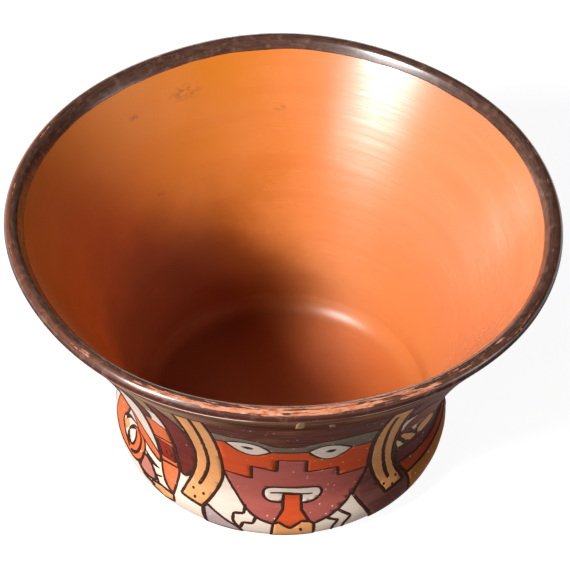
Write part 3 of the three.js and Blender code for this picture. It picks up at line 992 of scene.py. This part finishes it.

# %% [markdown]
# The slips of the palette
# Each slip is given as three swatches: its body, its thick streaks and where it is rubbed pale. The same
# red or ochre was not equally thick everywhere, so some fields have a darker, rosier or more streaked mix
# of their own. The darker ochre and orange of the streamers are painted shade.

# %% Palette
slips = {
    "cream": slip("cream_slip_paint", "E6D3C3", "D8C0AC", "EEE0D2", grit=0.2, streak=0.5),
    "red": slip("red_slip_paint", "D0522B", "B8421F", "DB6A42"),
    "orange": slip("orange_slip_paint", "DE6F44", "CC5A30", "E8875E"),
    "rose": slip("rose_slip_paint", "BE7868", "A76258", "CF9080"),
    "mauve": slip("mauve_slip_paint", "AC5B52", "98473F", "BC7268"),
    "ochre": slip("ochre_slip_paint", "E49E66", "D38B4E", "EEB182", grit=0.6),
    # The next two are painted shade: darker copies of ochre and orange for the streamers on the dim right
    # side.
    "shaded_ochre": slip("deep_ochre_slip_paint", "BA743C", "9C5C2E", "CC8E56"),
    "shaded_orange": slip("rust_slip_paint", "A8482A", "8A3620", "BE5E3A"),
    "pale_ochre": slip("pale_ochre_slip_paint", "E6C48E", "D4AC70", "F0D8B0", grit=0.3),
    "maroon": slip("maroon_slip_paint", "74302A", "54221F", "8A4238", streak=0.7),
    "brushed": slip("brushed_maroon_slip_paint", "6B382C", "40201A", "946650", streak=1.0, grit=0.6),
    "plum": slip("plum_slip_paint", "7A4A42", "5A3430", "A8847A", streak=0.8, grit=1.0),
    "dusk": slip("dark_maroon_slip_paint", "64302A", "48201C", "80483E", streak=0.6),
    "red_brown": slip("red_brown_slip_paint", "7A3A26", "5E2A1C", "95553C", streak=0.6),
    "deep_red": slip("deep_red_slip_paint", "962C20", "7C1F18", "AE4534"),
    "grey": slip("grey_slip_paint", "7A6A5C", "5F5044", "968676", streak=0.6),
    "lilac": slip("lilac_slip_paint", "B49C98", "9E8482", "C8B4B0", streak=0.6),
    "line": slip("line_slip_paint", "442A22", "32201A", "5A3C30", grit=0.15),
    "tan": slip("tan_slip_paint", "A98462", "7E5C42", "C4A080", streak=0.9),
}
print("slips:", len(slips))

# %% [markdown]
# The lining
# Inside, the orange slip was rubbed with a stone in level strokes until it shone. One flat orange would
# look like plastic. Painted sheen makes it pinker high on the lit right, painted shade yellower on the left
# and low down, with clouds, the broad passes of the stone and its fine grooves laid over that.

# %% Lining colour
mix = Recipe("burnished_orange")
grooves = mix.cloud(mix.place(22, 620), detail=5, rough=0.6)
passes = mix.cloud(mix.place(14, 150), detail=4, rough=0.55, bend=0.4)
clouds = mix.cloud(mix.place(22, 22), detail=5, rough=0.6)
x, up = mix.along("X"), mix.along("Z")
# Painted sheen and shade: pinker where the lamps light the right wall, yellower on the shaded left and low
# down.
painted_sheen = mix.ramp(x + (clouds - 0.5) * 0.05, -0.03, 0.05) * mix.ramp(up, 0.015, 0.065, 0.45, 1)
colour = mix.mix(painted_sheen, tint("E28224"), tint("F48E60"))
colour = mix.mix(mix.ramp(clouds, 0.35, 0.7) * 0.35, colour, tint("EE9450"))
colour = mix.mix(mix.ramp(passes, 0.45, 0.75) * 0.3, colour, tint("DC7430"))
colour = mix.mix(mix.ramp(grooves, 0.6, 0.85) * 0.18, colour, tint("C2632C"))
print("lining nodes so far:", len(mix.tree.nodes))

# %% [markdown]
# Marks of use and a painted shadow inside
# Four small smudges lie on the wall, where something dark once touched the slip. Low on the left the orange
# is darkened to brown as a painted shadow, where the lip shades it. Both are masks in the colour, so they
# follow the bowl in every view.

# %% Smudges and the painted shadow
def smudge(x, y, z, size):
    """A soft patch, wider than high, round a place given in millimetres."""
    off = mix.node("VectorMath", {"operation": "SUBTRACT"}, {0: mix.at(), 1: (x * MM, y * MM, z * MM)})
    flat = mix.node("VectorMath", {"operation": "MULTIPLY"}, {0: off, 1: (1, 1, 2.4)})
    reach = mix.node("VectorMath", {"operation": "LENGTH"}, {0: flat}, output="Value")
    return mix.ramp(reach, size * MM, 0)


marks = smudge(-28.7, 69.6, 86.8, 8) + smudge(-46, 59, 85.6, 3)
marks = marks + smudge(3, 70.6, 77.9, 3) + smudge(-38, 48, 61, 3)
ragged = mix.ramp(mix.cloud(mix.place(500, 900), detail=3), 0.42, 0.58)
colour = mix.mix(marks * ragged * 0.55, colour, tint("8E4C26"))
deep = mix.ramp(up, 0.05, 0.02)
# Painted shadow: the lower left of the lining is darkened to brown where the lip's shadow lies.
painted_shadow = (mix.ramp(x - deep * 0.022 + (clouds - 0.5) * 0.03, 0.012, -0.024)
        * mix.ramp(up + (clouds - 0.5) * 0.03, 0.07, 0.032))
colour = mix.mix(painted_shadow * 0.85, colour, tint("783004"))
print("lining nodes so far:", len(mix.tree.nodes))

# %% [markdown]
# The shine of the lining
# The stone leaves grooves that run level, and they pull a highlight out across themselves, up the wall. A
# bump draws the grooves, and Anisotropic stretches the shine. It is duller low down and on the left, where
# it is worn.

# %% Lining shine
relief = mix.bump(grooves * 0.4 + passes, 0.00032, 0.6)
shine = 0.18 + 0.14 * passes + 0.06 * grooves + 0.14 * deep + 0.3 * mix.ramp(x, 0.0, -0.04)
stone_polish = {"IOR": 1.55, "Specular IOR Level": 1.0, "Anisotropic": 0.6, "Anisotropic Rotation": 0.25}
orange_lining = mix.finish(colour, shine, relief, **stone_polish)
print("lining nodes:", len(mix.tree.nodes))

# %% [markdown]
# The worn lip
# The dark band went over the lip last. Hands have rubbed it off along the crest, most at the front, where
# the pink clay shows through in ragged dashes. The wear could be cut out of the mesh, but a mask in the
# finish has softer edges. It joins the number kept round the lip with noise that is stretched along the
# rim.

# %% Where the lip is worn
mix = Recipe("worn_brown_lip")
across = mix.node("Attribute", {"attribute_name": "round_lip"}, output="Fac")
x, y = mix.along("X"), mix.along("Y")


def along_rim(beat, twist):
    """A place for noise that is long along the rim and short across it."""
    return mix.node("CombineXYZ", None, {"X": x * beat, "Y": y * beat, "Z": twist})


fine = mix.cloud(along_rim(210, across * 6), detail=5, rough=0.65)
dashes = mix.cloud(along_rim(60, across * 4 + 7), detail=3, rough=0.5)
broken = mix.cloud(mix.place(340, 340), detail=3, rough=0.6)
ahead = mix.ramp(0 - y, 0.06, 0.083)
handled = mix.ramp(x, 0.01, 0.045) * mix.ramp(0 - y, 0.025, 0.055)
crest = mix.ramp(across, 0.2, 0.48) * mix.ramp(across, 1.35, 1.0)
wear = crest * (0.1 + 0.5 * ahead + 0.17 * handled * (1 - ahead))
wear = wear + (fine - 0.5) * 1.2 + (dashes - 0.5) * 1.8 + (broken - 0.5) * 0.5
worn = mix.ramp(wear, 0.42, 0.52) * crest
print("lip nodes so far:", len(mix.tree.nodes))

# %% [markdown]
# The colours and gloss of the lip
# The slip that is left is mottled brown and turns to a dark red outside. Along the crest, and most at the
# back, it is thin enough for the orange to show. A clear coat gives it its hard shine, and is weaker where
# the clay is bare.

# %% Lip finish
thin = mix.ramp(across, 0.44, 0.54) * mix.ramp(across, 0.86, 0.7)
edge = thin * mix.ramp(dashes + fine * 0.6, 0.54, 0.78) * mix.ramp(y, -0.03, 0.04, 0.3, 0.95)
colour = mix.mix(mix.ramp(fine, 0.35, 0.7) * 0.8, tint("64463A"), tint("3A2620"))
colour = mix.mix(mix.ramp(across, 0.45, 0.0) * 0.8, colour, tint("4E1D15"))
colour = mix.mix(mix.ramp(broken, 0.5, 0.68) * 0.3, colour, tint("9A7464"))
colour = mix.mix(edge, colour, tint("A4522E"))
bare_clay_and_glints = mix.mix(mix.ramp(broken, 0.4, 0.7), tint("E39470"), tint("BE6238"))
# The pale streaks are partly the pale clay and partly a painted highlight of the lamps along the crest.
bare_clay_and_glints = mix.mix(mix.ramp(fine, 0.5, 0.66) * 0.7, bare_clay_and_glints, tint("F0BDA2"))
colour = mix.mix(worn, colour, bare_clay_and_glints)
relief = mix.bump(fine * 0.5 + broken * 0.3 - worn * 0.6, 0.00016, 0.8)
shine = mix.ramp(across, 0.12, 0.36) * (1 - 0.3 * worn)
lip_finish = mix.finish(colour, 0.3 + 0.2 * worn + 0.1 * broken, relief,
                        **{"IOR": 1.08, "Coat Weight": shine, "Coat Roughness": 0.24, "Coat IOR": 1.65})
print("lip nodes:", len(mix.tree.nodes))

# %% [markdown]
# The band under the lip
# Under the lip the brown slip was laid on in level strokes, thin in places. Noise that is stretched level
# stands for the strokes. The band is paler where it is thin, taupe on the left, and deepens to
# maroon towards its foot.

# %% Band finish
mix = Recipe("streaked_brown_band")
up = mix.along("Z")
strokes = mix.cloud(mix.place(45, 420), detail=5, rough=0.62)
broad = mix.cloud(mix.place(30, 160), detail=3, rough=0.55)
colour = mix.mix(mix.ramp(broad, 0.4, 0.58), tint("643A2A"), tint("8C6044"))
colour = mix.mix(mix.ramp(up, 0.0885, 0.0815) * 0.75, colour, tint("58281F"))
colour = mix.mix(mix.ramp(strokes, 0.52, 0.62) * 0.75, colour, tint("3A2018"))
colour = mix.mix(mix.ramp(strokes, 0.44, 0.34) * 0.7, colour, tint("8F5C40"))
rubbed = mix.ramp(mix.along("X"), -0.012, -0.05) * mix.ramp(broad, 0.3, 0.6)
colour = mix.mix(rubbed * 0.75, colour, tint("BC977C"))
relief = mix.bump(strokes + broad * 0.5, 0.0001, 0.6)
band_finish = mix.finish(colour, 0.34 + 0.1 * strokes, relief, IOR=1.02)
print("band nodes:", len(mix.tree.nodes))

# %% [markdown]
# The bare clay
# Under the heel the fired clay is left as it was: dull and grainy, pinkish brown, with darker clouds from
# the fire.

# %% Bare clay
mix = Recipe("fired_clay")
grain = mix.cloud(mix.place(700, 700), detail=5, rough=0.65)
clouds = mix.cloud(mix.place(40, 40), detail=4, rough=0.6)
colour = mix.mix(mix.ramp(clouds, 0.35, 0.7), tint("B9775A"), tint("A5654A"))
colour = mix.mix(mix.ramp(grain, 0.6, 0.8) * 0.4, colour, tint("8C5440"))
clay_finish = mix.finish(colour, 0.72 + 0.15 * grain, mix.bump(grain, 0.0002, 0.6))
print("clay nodes:", len(mix.tree.nodes))

# %% [markdown]
# The repeat on the far side
# The same figure is painted on the far side. The painted pieces are copied, each with its own mesh, and the
# mesh is turned half round, not the object, so that every pattern on it stays in its place.

# %% Repeat on the far side
for name, (piece, slip_name) in list(pieces.items()):
    twin = piece.copy()
    twin.data = piece.data.copy()
    twin.name = twin.data.name = piece.name.replace("front_", "back_")
    scene.collection.objects.link(twin)
    twin.data.transform(Matrix.Rotation(math.pi, 4, "Z"))
    pieces[name.replace("front_", "back_")] = (twin, slip_name)
print("painted pieces:", len(pieces))

# %% [markdown]
# The hand of the potter
# A hand-built bowl is never quite true: its lip stays inside the perfect round by a millimetre or two. A
# lattice could bend it, but the same sum on every corner of every piece moves clay and paint together, so
# nothing parts. The lip is pulled in by a smooth curve through twelve values, and less and less further
# down.

# %% Unevenness of the hand
LIP_HAND = [0.65, 1.7, 0.95, 0.14, 1.18, 0.96, 2.3, 1.9, 1.04, 1.19, 1.4, 1.95]
HAND_FROM, HAND_REACH = 26, 70


def pulled_in(turn):
    """How far the lip stays inside the true round at an angle, from a list with steps of 30 degrees."""
    place = (turn + 184.5) / 30 % 12
    k, t = int(place), place % 1
    a, b, c, d = (LIP_HAND[(k + i) % 12] for i in (-1, 0, 1, 2))
    return b + 0.5 * t * (c - a + t * (2 * a - 5 * b + 4 * c - d + t * (3 * (b - c) + d - a)))


def by_hand(point):
    """Where the potter's hand left a point that the section line puts here."""
    x, y, z = point / MM
    r = math.hypot(x, y)
    share = min(1.0, max(0.0, (z - HAND_FROM) / HAND_REACH)) ** 1.3
    slow = 0.12 * noise.noise(Vector((x, y, z)) * 0.022)
    inward = 0.08 + pulled_in(math.degrees(math.atan2(x, -y))) * share + slow * (0.3 + 0.7 * share)
    scale = (r - inward) / r if r > 20 else 1
    return Vector((x * scale, y * scale, z * (1 - 0.0012 * share))) * MM


made = [clay, lining, rim, ground, band] + [piece for piece, slip_name in pieces.values()]
for piece in made:
    for vertex in piece.data.vertices:
        vertex.co = by_hand(vertex.co)
    piece.data.update()
    pick(piece)
    bpy.ops.object.shade_smooth()
print("pieces:", len(made))

# %% [markdown]
# Which piece stands for which coat
# The frame has its own coats, with the same names as the painted fields. A piece whose name is there takes
# that coat's place, and the small extra fields and the lines replace nothing. Each piece also names the
# nearest of the frame's slots for its slip.

# %% Which piece stands for which coat
slots = {
    "cream": "cream_slip", "red": "red_slip", "deep_red": "red_slip", "orange": "orange_slip",
    "shaded_orange": "orange_slip", "mauve": "mauve_slip", "rose": "mauve_slip", "lilac": "mauve_slip",
    "ochre": "ochre_slip", "shaded_ochre": "ochre_slip", "pale_ochre": "ochre_slip", "tan": "ochre_slip",
    "maroon": "maroon_slip", "dusk": "maroon_slip", "red_brown": "maroon_slip", "brushed": "maroon_slip",
    "plum": "maroon_slip", "grey": "grey_slip", "line": "rim_slip",
}
hand_in = {
    clay: (["clay_body"], "fired_clay", clay_finish),
    lining: (["inner_lining"], "lining_slip", orange_lining),
    rim: (["rim_band"], "rim_slip", lip_finish),
    ground: (["ground_coat"], "cream_slip", slips["cream"]),
    band: (["upper_band"], "rim_slip", band_finish),
}
for name, (piece, slip_name) in pieces.items():
    hand_in[piece] = ([name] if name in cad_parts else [], slots[slip_name], slips[slip_name])
print("pieces that replace a coat:", sum(bool(nodes) for nodes, slot, finish in hand_in.values()))

# %% [markdown]
# Handing the pieces to the frame
# Each finished piece gets its material, rides on the one body of the bowl, and stands for the coat that it
# replaces.

# %% Hand in
for piece, (nodes, slot, finish) in hand_in.items():
    piece.data.materials.clear()
    piece.data.materials.append(finish)
    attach(piece, "root")
    if nodes:
        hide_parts(*nodes)
